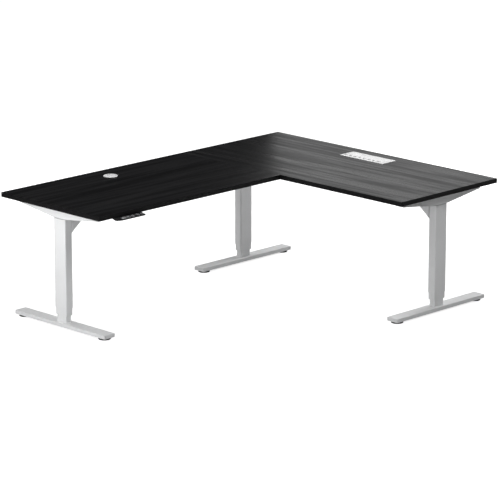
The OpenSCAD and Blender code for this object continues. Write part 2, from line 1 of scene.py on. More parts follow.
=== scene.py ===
"""Looks of the L-shaped standing desk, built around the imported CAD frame. Metres, CAD frame, +Z up."""
import json
import math

import bmesh
import bpy
from mathutils import Matrix, Vector


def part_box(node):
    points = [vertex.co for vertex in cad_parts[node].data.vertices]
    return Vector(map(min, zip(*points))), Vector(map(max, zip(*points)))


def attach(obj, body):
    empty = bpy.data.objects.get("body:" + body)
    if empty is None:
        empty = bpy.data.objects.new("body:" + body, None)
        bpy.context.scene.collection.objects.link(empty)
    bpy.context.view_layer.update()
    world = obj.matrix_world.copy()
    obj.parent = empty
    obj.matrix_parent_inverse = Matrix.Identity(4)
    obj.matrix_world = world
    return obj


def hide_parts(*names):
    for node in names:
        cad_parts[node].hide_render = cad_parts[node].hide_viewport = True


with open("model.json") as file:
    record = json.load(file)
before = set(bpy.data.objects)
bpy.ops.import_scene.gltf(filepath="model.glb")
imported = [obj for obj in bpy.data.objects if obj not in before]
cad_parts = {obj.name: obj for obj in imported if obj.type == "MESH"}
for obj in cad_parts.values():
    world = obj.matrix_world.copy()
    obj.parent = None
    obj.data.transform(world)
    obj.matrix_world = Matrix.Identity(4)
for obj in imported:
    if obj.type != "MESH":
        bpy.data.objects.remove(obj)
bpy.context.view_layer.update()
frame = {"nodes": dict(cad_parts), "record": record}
NODES = frame["nodes"]
LEGS = ("left", "corner", "right")
MM = 0.001

# ---------------------------------------------------------------- camera

CAMERA_AT = (-10.761, -10.697, 4.307)
CAMERA_YAW = 45.14
CAMERA_PITCH = 14.72
CAMERA_LENS = 212.7

camera = bpy.data.objects.new("camera", bpy.data.cameras.new("camera"))
camera.data.lens = CAMERA_LENS
camera.data.sensor_width = 36
camera.data.clip_start = 0.5
camera.data.clip_end = 200
camera.location = CAMERA_AT
camera.rotation_euler = (math.radians(90 - CAMERA_PITCH), 0, -math.radians(CAMERA_YAW))
bpy.context.scene.collection.objects.link(camera)
bpy.context.scene.camera = camera
bpy.context.scene.view_settings.view_transform = "Standard"


# ---------------------------------------------------------------- node helpers


class Shader:
    """A new material with short calls for its nodes."""

    def __init__(self, name, **values):
        self.material = bpy.data.materials.new(name)
        self.material.use_nodes = True
        self.tree = self.material.node_tree
        self.surface = self.tree.nodes["Principled BSDF"]
        for key, value in values.items():
            self.surface.inputs[key.replace("_", " ")].default_value = value
        self.place = self.tree.nodes.new("ShaderNodeTexCoord").outputs["Object"]

    def add(self, kind, **settings):
        node = self.tree.nodes.new(kind)
        for key, value in settings.items():
            setattr(node, key, value)
        return node

    def link(self, out, into):
        self.tree.links.new(out, into)

    def stretched(self, scale):
        """The object's own coordinates, scaled by axis."""
        mapping = self.add("ShaderNodeMapping")
        mapping.inputs["Scale"].default_value = scale
        self.link(self.place, mapping.inputs["Vector"])
        return mapping.outputs["Vector"]

    def noise(self, scale, detail=3.0, roughness=0.55, distortion=0.0, vector=None):
        node = self.add("ShaderNodeTexNoise")
        node.inputs["Scale"].default_value = scale
        node.inputs["Detail"].default_value = detail
        node.inputs["Roughness"].default_value = roughness
        node.inputs["Distortion"].default_value = distortion
        self.link(vector or self.place, node.inputs["Vector"])
        return node.outputs["Fac"]

    def spread(self, value, low, high, out_low=0.0, out_high=1.0):
        """Maps low..high to out_low..out_high, smoothly and clamped."""
        node = self.add("ShaderNodeMapRange", interpolation_type="SMOOTHSTEP")
        keys = ("From Min", "From Max", "To Min", "To Max")
        for key, number in zip(keys, (low, high, out_low, out_high)):
            node.inputs[key].default_value = number
        self.link(value, node.inputs["Value"])
        return node.outputs["Result"]

    def math(self, operation, a, b):
        node = self.add("ShaderNodeMath", operation=operation)
        for socket, value in zip(node.inputs, (a, b)):
            if isinstance(value, (int, float)):
                socket.default_value = value
            else:
                self.link(value, socket)
        return node.outputs["Value"]

    def mix(self, factor, a, b):
        """Mixes two colours; each is an RGB tuple or a socket."""
        node = self.add("ShaderNodeMix", data_type="RGBA")
        if isinstance(factor, (int, float)):
            node.inputs["Factor"].default_value = factor
        else:
            self.link(factor, node.inputs["Factor"])
        for key, value in (("A", a), ("B", b)):
            socket = [s for s in node.inputs if s.name == key and s.type == "RGBA"][0]
            if isinstance(value, tuple):
                socket.default_value = (*value, 1)
            else:
                self.link(value, socket)
        return [s for s in node.outputs if s.type == "RGBA"][0]

    def edge(self):
        """1 on the rounded edges that bevel_sharp() marks, 0 elsewhere, broken up by noise."""
        mark = self.add("ShaderNodeAttribute", attribute_name="edge").outputs["Fac"]
        return self.math("MULTIPLY", mark, self.spread(self.noise(60), 0.42, 0.62))

    def wear_and_highlight(self, tone, amount, bare_and_sheen):
        """Mixes in the lighter colour by that amount on the rounded edges: partly wear, partly a painted
        highlight where the edges catch the light.
        """
        return self.mix(self.math("MULTIPLY", self.edge(), amount), tone, bare_and_sheen)

    def finish(self, colour, roughness, bump, height):
        """Links colour and roughness, and a bump of the given height in metres."""
        self.link(colour, self.surface.inputs["Base Color"])
        self.link(roughness, self.surface.inputs["Roughness"])
        node = self.add("ShaderNodeBump")
        node.inputs["Distance"].default_value = height
        self.link(bump, node.inputs["Height"])
        self.link(node.outputs["Normal"], self.surface.inputs["Normal"])
        return self.material


# ---------------------------------------------------------------- materials

# Heights of the reliefs
WOOD_RELIEF = 0.22 * MM
BAND_RELIEF = 0.12 * MM
PEEL_RELIEF = 0.10 * MM
STREAK_RELIEF = 0.04 * MM
DUST = (0.42, 0.41, 0.39)


def times(colour, factor):
    """A colour made lighter or darker, each channel at most 1."""
    return tuple(min(1.0, factor * c) for c in colour)


def wood_laminate(name, along_x, dark, light, sheen):
    """Black wood-grain laminate: broad figure, fine fibres and short pores along one axis."""
    s = Shader(name, Specular_IOR_Level=0.5)

    def grain(along, across):
        """Coordinates with so many waves per metre along the grain and across it."""
        return s.stretched((along, across, across) if along_x else (across, along, across))

    figure = s.noise(1.0, detail=5, roughness=0.6, distortion=1.1, vector=grain(1.1, 13))
    bands = s.noise(1.0, detail=4, roughness=0.5, distortion=0.5, vector=grain(1.3, 38))
    fibres = s.noise(1.0, detail=3, roughness=0.6, vector=grain(6, 420))
    pores = s.spread(s.noise(1.0, detail=2, vector=grain(26, 900)), 0.6, 0.7)
    tone = s.math("ADD", s.math("MULTIPLY", figure, 0.4), s.math("MULTIPLY", bands, 0.6))
    tone = s.spread(tone, 0.38, 0.62)
    tone = s.math("MULTIPLY", tone, s.spread(fibres, 0.3, 0.7, 0.75, 1.0))
    colour = s.mix(tone, dark, light)
    colour = s.mix(s.math("MULTIPLY", pores, 0.6), colour, times(dark, 0.45))
    # Rounded edges painted lighter: partly wear, partly a painted highlight.
    colour = s.wear_and_highlight(colour, 0.35, times(light, 2.2))
    roughness = s.spread(tone, 0.0, 1.0, *sheen)
    relief = s.math("ADD", s.math("MULTIPLY", fibres, 0.35), s.math("MULTIPLY", tone, 0.65))
    relief = s.math("SUBTRACT", relief, s.math("MULTIPLY", pores, 0.5))
    return s.finish(colour, roughness, relief, WOOD_RELIEF)


def edge_band(name, dark, light):
    """Plastic edge band printed with a faint grain that runs along every side."""
    s = Shader(name, Specular_IOR_Level=0.25)
    grain = s.noise(1.0, detail=4, roughness=0.6, distortion=0.3, vector=s.stretched((5, 5, 420)))
    tone = s.spread(grain, 0.35, 0.65)
    colour = s.mix(tone, dark, light)
    # Rounded edges painted lighter: partly wear, partly a painted highlight.
    colour = s.wear_and_highlight(colour, 0.4, times(light, 2.0))
    return s.finish(colour, s.spread(tone, 0, 1, 0.42, 0.55), grain, BAND_RELIEF)


def powder_coat(name, colour):
    """Baked powder paint: orange peel, faint handling marks, edges painted lighter, partly as wear and partly
    as a painted highlight.
    """
    s = Shader(name, Specular_IOR_Level=0.45)
    peel = s.noise(900, detail=2)
    cloud = s.noise(3.5, detail=5, roughness=0.6)
    dirt = s.spread(s.noise(9, detail=6, roughness=0.65), 0.55, 0.8)
    tone = s.mix(s.spread(cloud, 0.3, 0.7), times(colour, 0.965), colour)
    tone = s.mix(s.math("MULTIPLY", dirt, 0.05), tone, DUST)
    # Rounded edges painted lighter: partly wear, partly a painted highlight.
    tone = s.wear_and_highlight(tone, 0.25, times(colour, 1.08))
    roughness = s.math("ADD", s.spread(cloud, 0.3, 0.7, 0.40, 0.48), s.math("MULTIPLY", peel, 0.05))
    return s.finish(tone, roughness, peel, PEEL_RELIEF)


def moulded(name, colour, rough, grain_scale, grain_height, specular=0.5):
    """Injection-moulded plastic; grain_scale is the waves per metre of its fine texture."""
    s = Shader(name, Specular_IOR_Level=specular)
    grain = s.noise(grain_scale, detail=3)
    cloud = s.noise(14, detail=4)
    tone = s.mix(s.spread(cloud, 0.35, 0.65), times(colour, 0.9), colour)
    # Rounded edges painted lighter: partly wear, partly a painted highlight.
    tone = s.wear_and_highlight(tone, 0.3, tuple(min(1.0, 1.5 * c + 0.01) for c in colour))
    roughness = s.spread(cloud, 0.3, 0.7, rough - 0.05, rough + 0.05)
    return s.finish(tone, roughness, grain, grain_height)


def plated(name, colour, rough, along_z=False):
    """Plated or brushed metal with fine streaks."""
    s = Shader(name, Metallic=1.0)
    waves = (1400, 1400, 40) if along_z else (60, 1400, 1400)
    streaks = s.noise(1.0, detail=3, vector=s.stretched(waves))
    cloud = s.noise(40, detail=4)
    tone = s.mix(s.spread(cloud, 0.35, 0.7), times(colour, 0.82), colour)
    # Rounded edges painted lighter: partly wear, partly a painted highlight.
    tone = s.wear_and_highlight(tone, 0.4, times(colour, 1.2))
    patches = s.spread(cloud, 0.3, 0.7, rough - 0.06, rough + 0.06)
    roughness = s.math("ADD", patches, s.math("MULTIPLY", streaks, 0.06))
    return s.finish(tone, roughness, streaks, STREAK_RELIEF)


BLACK_DARK = (0.0055, 0.0055, 0.006)
BLACK_LIGHT = (0.019, 0.019, 0.02)
# Lighter grain tone used only on the return top: painted light, the same laminate as the main top made
# lighter where it mirrors the panel behind it.
PAINTED_LIT_GREY = (0.026, 0.026, 0.027)
WHITE_PAINT = (0.78, 0.785, 0.79)
# Colours, then roughness; for moulded also the texture's waves per metre and its height
M = {
    "laminate_x": wood_laminate("laminate_grain_x", True, BLACK_DARK, BLACK_LIGHT, (0.44, 0.28)),
    # Return top: the same laminate, its grain painted lighter as a painted reflection of the panel.
    "laminate_y": wood_laminate("laminate_grain_y", False, BLACK_DARK, PAINTED_LIT_GREY, (0.40, 0.26)),
    "edge_band": edge_band("edge_band", (0.0015, 0.0015, 0.0018), (0.005, 0.005, 0.0055)),
    "backing": moulded("backing_sheet", (0.012, 0.012, 0.013), 0.6, 500, 0.06 * MM),
    "paint": powder_coat("white_powder_coat", WHITE_PAINT),
    "white_plastic": moulded("white_plastic", (0.90, 0.90, 0.90), 0.34, 1300, 0.03 * MM),
    "cap_plastic": moulded("grey_white_plastic", (0.74, 0.74, 0.75), 0.42, 1300, 0.03 * MM),
    "black_plastic": moulded("black_plastic", (0.007, 0.007, 0.0075), 0.5, 1500, 0.06 * MM, 0.3),
    "key_plastic": moulded("key_plastic", (0.05, 0.05, 0.052), 0.42, 1500, 0.04 * MM),
    "glide": moulded("glide_plastic", (0.003, 0.003, 0.003), 0.75, 700, 0.08 * MM, 0.2),
    "window": moulded("display_window", (0.22, 0.225, 0.23), 0.2, 400, 0.01 * MM),
    "lit": moulded("display_digit", (0.90, 0.92, 0.93), 0.5, 1500, 0.02 * MM),
    "mark": moulded("printed_mark", (0.85, 0.85, 0.86), 0.5, 1500, 0.02 * MM),
    "zinc": plated("zinc_plate", (0.62, 0.63, 0.65), 0.36),
    "screw_steel": plated("bright_steel", (0.60, 0.60, 0.61), 0.28, along_z=True),
    "dark_metal": plated("motor_can", (0.16, 0.16, 0.17), 0.42, along_z=True),
    "brass": plated("brass", (0.72, 0.52, 0.22), 0.34),
}

# ---------------------------------------------------------------- mesh helpers


def mesh_object(name, bm, material, smooth_angle=35):
    """Turns a bmesh into an object, smooth but for its sharp edges, with a material or a list of them."""
    mesh = bpy.data.meshes.new(name)
    bm.to_mesh(mesh)
    bm.free()
    for m in material if isinstance(material, list) else [material]:
        mesh.materials.append(m)
    mesh.shade_smooth()
    mesh.set_sharp_from_angle(angle=math.radians(smooth_angle))
    piece = bpy.data.objects.new(name, mesh)
    bpy.context.scene.collection.objects.link(piece)
    return piece


def body_of_node(node):
    bodies = frame["record"]["behaviour"]["bodies"]
    return next(body for body, members in bodies.items() if node in members)


def slot_of_node(node):
    return next(s["material_slot"] for s in frame["record"]["subparts"] if s["node"] == node)


def box_middle(node):
    low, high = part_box(node)
    return (Vector(low) + Vector(high)) / 2


def stand_in(piece, node):
    """The piece takes the place of a CAD node, on its body."""
    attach(piece, body_of_node(node))
    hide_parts(node)


def detail(name, node, bm, material, slot=None, smooth_angle=35):
    """A modelled detail that rides with a CAD node, in the given material; the slot argument is not used."""
    piece = mesh_object(name, bm, material, smooth_angle)
    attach(piece, body_of_node(node))
    slot or slot_of_node(node)


# CAD corners closer than this are one, and CAD faces that meet flatter than this are one face
SAME_POINT = 0.002 * MM
FLAT_ANGLE = math.radians(0.6)


def bevel_sharp(bm, width, segments, angle=30):
    """Rounds every edge sharper than angle, in degrees, and marks the new faces for edge wear and a painted
    edge highlight.
    """
    mark = bm.faces.layers.float.get("edge") or bm.faces.layers.float.new("edge")
    limit = math.radians(angle)
    sharp = [e for e in bm.edges if len(e.link_faces) == 2 and e.calc_face_angle(0) > limit]
    made = bmesh.ops.bevel(
        bm, geom=sharp, offset=width, offset_type="OFFSET", segments=segments, profile=0.5,
        affect="EDGES", clamp_overlap=True, harden_normals=False,
    )
    for face in made["faces"]:
        face[mark] = 1.0
    return bm


def welded(node):
    """A copy of a CAD node's mesh, its doubled corners merged."""
    bm = bmesh.new()
    bm.from_mesh(NODES[node].data)
    bmesh.ops.remove_doubles(bm, verts=bm.verts, dist=SAME_POINT)
    return bm


def cad_mesh(node):
    """A clean copy of a CAD node's mesh, its flat faces merged."""
    bm = welded(node)
    bmesh.ops.dissolve_limit(bm, angle_limit=FLAT_ANGLE, verts=bm.verts, edges=bm.edges)
    return bm


def weigh_normals(piece):
    modifier = piece.modifiers.new("weighted_normal", "WEIGHTED_NORMAL")
    modifier.keep_sharp = True
    return piece


def rounded(node, material, width, segments=2):
    """The CAD node with rounded edges, in place of it."""
    bm = bevel_sharp(cad_mesh(node), width, segments)
    stand_in(weigh_normals(mesh_object(node + "_skin", bm, material)), node)


# ---------------------------------------------------------------- turned and threaded shapes

TURN = 2 * math.pi


def ring(count):
    """Evenly spaced angles round a circle."""
    return [TURN * i / count for i in range(count)]


def on_circle(place, radius, angle, height):
    """Point at a radius, angle and height about the Z axis of place."""
    return place @ Vector((radius * math.cos(angle), radius * math.sin(angle), height))


def hexagon(flats):
    """Radius of a hexagon by angle, from its width across flats."""
    return lambda angle: flats / 2 / math.cos((angle + TURN / 12) % (TURN / 6) - TURN / 12)


def cross(length, half_width):
    """Radius of a plus sign by angle."""

    def radius(angle):
        a = angle % (TURN / 4)
        a = min(a, TURN / 4 - a)
        return length / math.cos(a) if math.tan(a) * length <= half_width else half_width / math.sin(a)

    return radius


def cross_angles(length, half_width):
    """Angles that meet every corner of that plus sign."""
    corner = math.atan2(half_width, length)
    between = (corner + TURN / 8) / 2
    quarter = (0.0, corner, between, TURN / 8, TURN / 4 - between, TURN / 4 - corner)
    return [k * TURN / 4 + a for k in range(4) for a in quarter]


def turned(bm, rings, angles, place):
    """Adds a closed solid of (radius, height) rings; a radius may be a function of the angle."""
    rows = []
    for radius, height in rings:
        if radius == 0:
            rows.append([bm.verts.new(place @ Vector((0, 0, height)))])
            continue
        radii = [radius(a) if callable(radius) else radius for a in angles]
        rows.append([bm.verts.new(on_circle(place, r, a, height)) for r, a in zip(radii, angles)])
    faces = []
    count = len(angles)
    for low, high in zip(rows, rows[1:]):
        for i in range(count):
            j = (i + 1) % count
            if len(low) == 1:
                faces.append(bm.faces.new((low[0], high[i], high[j])))
            elif len(high) == 1:
                faces.append(bm.faces.new((low[j], low[i], high[0])))
            else:
                faces.append(bm.faces.new((low[i], high[i], high[j], low[j])))
    for row in (rows[0], rows[-1]):
        if len(row) > 1:
            faces.append(bm.faces.new(row))
    bmesh.ops.recalc_face_normals(bm, faces=faces)


def pipe(bm, outline, angles, place):
    """Adds a ring-shaped solid, turned from a closed outline of (radius, height) points."""
    rows = [[bm.verts.new(on_circle(place, r, a, z)) for a in angles] for r, z in outline]
    faces = []
    for k, low in enumerate(rows):
        high = rows[(k + 1) % len(rows)]
        for i in range(len(angles)):
            j = (i + 1) % len(angles)
            faces.append(bm.faces.new((low[i], high[i], high[j], low[j])))
    bmesh.ops.recalc_face_normals(bm, faces=faces)


# Corners of a thread closer than this are merged, and edges shorter than this removed
THREAD_WELD = 0.001 * MM
THREAD_TINY = 0.0001 * MM


def threaded(bm, place, length, radius, pitch, depth, sides, bore=0.0, starts=1):
    """Adds a rod with a helical trapezoidal thread, from place along its Z; bore makes it a tube."""
    # share of the pitch and radius at the four corners of the thread's outline
    levels = ((0.0, radius - depth), (0.2, radius), (0.5, radius), (0.7, radius - depth))
    angles = ring(sides)
    lead = pitch * starts

    def point(i, j):
        turn, step = divmod(j, len(levels))
        share, r = levels[step]
        z = pitch * (turn + share) + lead * i / sides
        if z <= 0 or z >= length:
            z = min(max(z, 0.0), length)
            r = radius - depth
        return on_circle(place, r, angles[i], z)

    # the grid reaches past both ends; what lies beyond an end collapses onto it and is merged
    shift = len(levels) * starts
    first = -len(levels) * (starts + 1)
    last = len(levels) * math.ceil(length / pitch) + len(levels)
    grid = {(i, j): bm.verts.new(point(i, j)) for i in range(sides) for j in range(first, last + shift + 1)}
    for i in range(sides):
        k = (i + 1) % sides
        up = shift if k == 0 else 0
        for j in range(first + shift, last):
            bm.faces.new((grid[i, j], grid[k, j + up], grid[k, j + up + 1], grid[i, j + 1]))
    unused = [v for v in grid.values() if not v.link_faces]
    bmesh.ops.delete(bm, geom=unused, context="VERTS")
    made = [v for v in grid.values() if v.is_valid]
    bmesh.ops.remove_doubles(bm, verts=made, dist=THREAD_WELD)
    bmesh.ops.dissolve_degenerate(bm, dist=THREAD_TINY, edges=bm.edges)
    if bore:
        walls = [[bm.verts.new(on_circle(place, bore, a, z)) for a in angles] for z in (0.0, length)]
        for i in range(sides):
            j = (i + 1) % sides
            bm.faces.new((walls[0][i], walls[1][i], walls[1][j], walls[0][j]))
        rims = [e for e in bm.edges if e.is_boundary]
        local = place.inverted()
        low_rims = [e for e in rims if (local @ e.verts[0].co).z < length / 2]
        high_rims = [e for e in rims if (local @ e.verts[0].co).z > length / 2]
        bmesh.ops.bridge_loops(bm, edges=low_rims)
        bmesh.ops.bridge_loops(bm, edges=high_rims)
    else:
        rims = [e for e in bm.edges if e.is_boundary]
        bmesh.ops.holes_fill(bm, edges=rims, sides=0)
    bmesh.ops.recalc_face_normals(bm, faces=bm.faces)


def loose_parts(node):
    """Each separate solid of a CAD node, as the list of its corners."""
    bm = welded(node)
    seen = set()
    parts = []
    for seed in bm.verts:
        if seed in seen:
            continue
        seen.add(seed)
        stack = [seed]
        part = []
        while stack:
            vert = stack.pop()
            part.append(vert.co.copy())
            for edge in vert.link_edges:
                other = edge.other_vert(vert)
                if other not in seen:
                    seen.add(other)
                    stack.append(other)
        parts.append(part)
    bm.free()
    return sorted(parts, key=lambda part: tuple(round(c, 4) for c in sum(part, Vector()) / len(part)))


def middle_of(part):
    return Vector([(min(v[i] for v in part) + max(v[i] for v in part)) / 2 for i in range(3)])


# Corners farther from the axis than this share of the widest belong to the head
HEAD_SHARE = 0.9


def fastener_place(part):
    """Matrix with its origin on top of a fastener's head and Z along its shank, and the whole length."""
    middle = middle_of(part)
    sizes = [max(v[i] for v in part) - min(v[i] for v in part) for i in range(3)]
    length = max(sizes)
    along = Vector([float(size == length) for size in sizes])

    def off_axis(point):
        return (point - middle - along * (point - middle).dot(along)).length

    wide = max(off_axis(v) for v in part)
    head = [v for v in part if off_axis(v) > HEAD_SHARE * wide]
    if sum((v - middle).dot(along) for v in head) > 0:
        along = -along
    start = middle - along * length / 2
    turn = along.to_track_quat("Z", "Y").to_matrix().to_4x4()
    return Matrix.Translation(start) @ turn, length


def fasteners(node, build, material):
    """Replaces every fastener of a group node by the solid that build makes at its place."""
    bm = bmesh.new()
    for part in loose_parts(node):
        build(bm, *fastener_place(part))
    stand_in(mesh_object(node + "_detail", bm, material, 40), node)


# Radius and height of each kind of head, as in the CAD
SCREW_HEAD = (4.5 * MM, 2.5 * MM)
BOLT_HEAD = (5.5 * MM, 4.0 * MM)
FOOT_BOLT_HEAD = (6.5 * MM, 6.0 * MM)
SHANK_OVERLAP = 0.2 * MM
SCREW_SIDES = 12
HEAD_SIDES = 24


def shank_place(place, head_h):
    """Where a shank starts, a little inside its head."""
    return place @ Matrix.Translation((0, 0, head_h - SHANK_OVERLAP))


def wood_screw(bm, place, length):
    """Pan head with a cross recess, and a coarse thread that ends in a point."""
    head_r, head_h = SCREW_HEAD
    recess = (2.4 * MM, 0.55 * MM)
    deep = 1.5 * MM
    outline = cross(*recess)
    turned(bm, (
        (0, deep), (lambda a: 0.6 * outline(a), deep), (outline, 0.06 * MM), (0.72 * head_r, 0.04 * MM),
        (0.9 * head_r, 0.5 * MM), (head_r, 1.3 * MM), (head_r, head_h), (0, head_h),
    ), cross_angles(*recess), place)
    thread_r, pitch, depth = 2.5 * MM, 2.0 * MM, 0.7 * MM
    point = 5 * MM
    point_r = 1.7 * MM
    run = length - head_h - point
    shank = shank_place(place, head_h)
    threaded(bm, shank, run, thread_r, pitch, depth, SCREW_SIDES)
    turned(bm, ((point_r, run - 0.1 * MM), (point_r, run), (0, run + point)), ring(SCREW_SIDES), shank)


def socket_bolt(bm, place, length):
    """Button head with a hexagon socket and a washer, and a machine thread."""
    head_r, head_h = BOLT_HEAD
    socket = hexagon(4 * MM)
    deep = 2.4 * MM
    washer = 0.9 * MM
    button = 0.92 * head_r
    turned(bm, (
        (0, deep), (socket, deep), (socket, 0.1 * MM), (0.62 * head_r, 0.0), (0.82 * head_r, 0.7 * MM),
        (button, 1.9 * MM), (button, head_h - 0.8 * MM), (0, head_h - 0.8 * MM),
    ), ring(HEAD_SIDES), place)
    turned(bm, (
        (0, head_h - washer), (head_r, head_h - washer), (head_r, head_h), (0, head_h),
    ), ring(HEAD_SIDES), place)
    thread_r, pitch, depth = 3.0 * MM, 1.25 * MM, 0.4 * MM
    threaded(bm, shank_place(place, head_h), length - head_h, thread_r, pitch, depth, SCREW_SIDES)


def hex_bolt(bm, place, length):
    """Hexagon head with a washer face, and a machine thread."""
    head_r, head_h = FOOT_BOLT_HEAD
    sides = hexagon(2 * head_r * math.cos(TURN / 12))
    face = 0.9 * head_r
    turned(bm, (
        (0, 0.4 * MM), (0.5 * head_r, 0.4 * MM), (0.6 * head_r, 0), (0.82 * head_r, 0), (sides, 0.7 * MM),
        (sides, head_h - 1.2 * MM), (face, head_h - 1.1 * MM), (face, head_h), (0, head_h),
    ), ring(HEAD_SIDES), place)
    thread_r, pitch, depth = 4.0 * MM, 1.25 * MM, 0.45 * MM
    threaded(bm, shank_place(place, head_h), length - head_h, thread_r, pitch, depth, 14)


# ---------------------------------------------------------------- pieces

# A face whose normal's Z passes this is above or below, and any other is on a side
LEVEL_NORMAL = 0.85


def board(node, laminate):
    """A top: laminate above, edge band on its sides, backing sheet below."""
    bm = bevel_sharp(cad_mesh(node), 0.9 * MM, 3, 60)
    for face in bm.faces:
        face.material_index = 0 if face.normal.z > LEVEL_NORMAL else 2 if face.normal.z < -LEVEL_NORMAL else 1
    piece = mesh_object(node + "_board", bm, [laminate, M["edge_band"], M["backing"]])
    stand_in(weigh_normals(piece), node)


board("main_top", M["laminate_x"])
board("return_top", M["laminate_y"])

for leg in LEGS:
    rounded("side_bracket_" + leg, M["paint"], 1.2 * MM)
    rounded("outer_tube_" + leg, M["paint"], 0.5 * MM)
    rounded("middle_tube_" + leg, M["paint"], 0.5 * MM)
    rounded("inner_tube_" + leg, M["paint"], 0.5 * MM)
    rounded("foot_" + leg, M["paint"], 1.6 * MM, 3)
    rounded("drive_nut_" + leg, M["brass"], 0.5 * MM)
    rounded("middle_guide_" + leg, M["black_plastic"], 0.3 * MM)
    fasteners("foot_bolts_" + leg, hex_bolt, M["zinc"])
rounded("motor_housings", M["paint"], 1.0 * MM)
rounded("main_rails", M["paint"], 0.8 * MM)
rounded("return_rails", M["paint"], 0.8 * MM)
rounded("joining_plates", M["paint"], 0.8 * MM)
rounded("outer_bushings", M["black_plastic"], 0.2 * MM, 1)
rounded("gear_motors", M["dark_metal"], 2.0 * MM)
rounded("control_box", M["black_plastic"], 1.5 * MM, 3)
rounded("keypad_housing", M["black_plastic"], 1.0 * MM, 3)
rounded("keypad_display", M["window"], 0.5 * MM)
for key in ("key_down", "key_up", "key_one", "key_two"):
    rounded(key, M["key_plastic"], 0.3 * MM)
rounded("grommet_ring", M["white_plastic"], 0.3 * MM)
rounded("grommet_cap", M["cap_plastic"], 0.3 * MM)
rounded("port_frame", M["white_plastic"], 0.5 * MM)
rounded("port_lid", M["white_plastic"], 0.5 * MM)
rounded("port_hinge_pin", M["screw_steel"], 0.3 * MM)
fasteners("top_screws", wood_screw, M["zinc"])
fasteners("frame_bolts", socket_bolt, M["zinc"])


SPINDLE_PITCH = 5 * MM
SPINDLE_DEPTH = 1.2 * MM
SPINDLE_BORE = 8.5 * MM
# Radius and height of the lower screw's collar, and radius of the screw below it
COLLAR = (15 * MM, 8 * MM, 11 * MM)
COLLAR_RIM = 0.8 * MM


def lead_screw(node, bore=0.0, collar=None):
    """A column's spindle: a two-start trapezoidal thread, hollow where another runs inside it."""
    low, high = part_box(node)
    outer, height, radius = collar or (0, 0, (high[0] - low[0]) / 2)
    run = high[2] - low[2] - height
    middle = box_middle(node)
    place = Matrix.Translation((middle.x, middle.y, low[2]))
    bm = bmesh.new()
    threaded(bm, place, run, radius, SPINDLE_PITCH, SPINDLE_DEPTH, 18, bore, starts=2)
    if collar:
        rim = COLLAR_RIM
        pipe(bm, (
            (bore, 0), (outer - rim, 0), (outer, rim), (outer, height - rim), (outer - rim, height),
            (bore, height),
        ), ring(36), place @ Matrix.Translation((0, 0, run)))
    stand_in(mesh_object(node + "_thread", bm, M["screw_steel"], 30), node)


for leg in LEGS:
    lead_screw("upper_screw_" + leg)
    lead_screw("lower_screw_" + leg, SPINDLE_BORE, COLLAR)

STEM_R = 4 * MM
STEM_PITCH = 1.25 * MM
STEM_DEPTH = 0.5 * MM
GLIDE_PAD_H = 10.5 * MM
FLUTES = 36
FLUTE_DEPTH = 0.9 * MM


def glide(node):
    """Levelling glide: fluted plastic pad, and its zinc-plated stem with a hexagon collar."""
    low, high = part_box(node)
    middle = box_middle(node)
    place = Matrix.Translation((middle.x, middle.y, low[2]))
    pad_r = (high[0] - low[0]) / 2

    def fluted(angle):
        return pad_r - 0.2 * MM - FLUTE_DEPTH * (0.5 - 0.5 * math.cos(FLUTES * angle))

    bm = bmesh.new()
    turned(bm, (
        (0, 0), (pad_r - 3 * MM, 0), (pad_r - 1.2 * MM, 0.4 * MM), (pad_r, 1.5 * MM), (pad_r, 2.2 * MM),
        (pad_r - 0.8 * MM, 2.5 * MM), (pad_r - 0.8 * MM, 2.8 * MM), (fluted, 3.1 * MM), (fluted, 6.6 * MM),
        (pad_r - 1.6 * MM, 7.6 * MM), (pad_r - 3.2 * MM, 8.6 * MM), (12 * MM, 9.3 * MM),
        (10 * MM, GLIDE_PAD_H), (0, GLIDE_PAD_H),
    ), ring(4 * FLUTES), place)
    stand_in(mesh_object(node + "_pad", bm, M["glide"], 30), node)

    nut = hexagon(13 * MM)
    nut_low, nut_high = GLIDE_PAD_H - 0.5 * MM, GLIDE_PAD_H + 0.3 * MM
    bm = bmesh.new()
    turned(bm, ((0, nut_low), (nut, nut_low), (nut, nut_high), (0, nut_high)), ring(HEAD_SIDES), place)
    stem = high[2] - low[2] - GLIDE_PAD_H + SHANK_OVERLAP
    threaded(bm, shank_place(place, GLIDE_PAD_H), stem, STEM_R, STEM_PITCH, STEM_DEPTH, 16)
    detail(node + "_stem", node, bm, M["zinc"], "zinc_steel", 30)


def box_solid(bm, low, high, width, segments=2):
    """Adds a box from corner to corner, its edges rounded by width."""
    middle = (Vector(low) + Vector(high)) / 2
    size = Vector(high) - Vector(low)
    made = bmesh.ops.create_cube(bm, size=1, matrix=Matrix.Translation(middle))
    for vert in made["verts"]:
        vert.co = middle + (vert.co - middle) * size
    edges = list(dict.fromkeys(e for v in made["verts"] for e in v.link_edges))
    bmesh.ops.bevel(bm, geom=edges, offset=width, segments=segments, profile=0.5, affect="EDGES")


BOX_EAR = 16 * MM


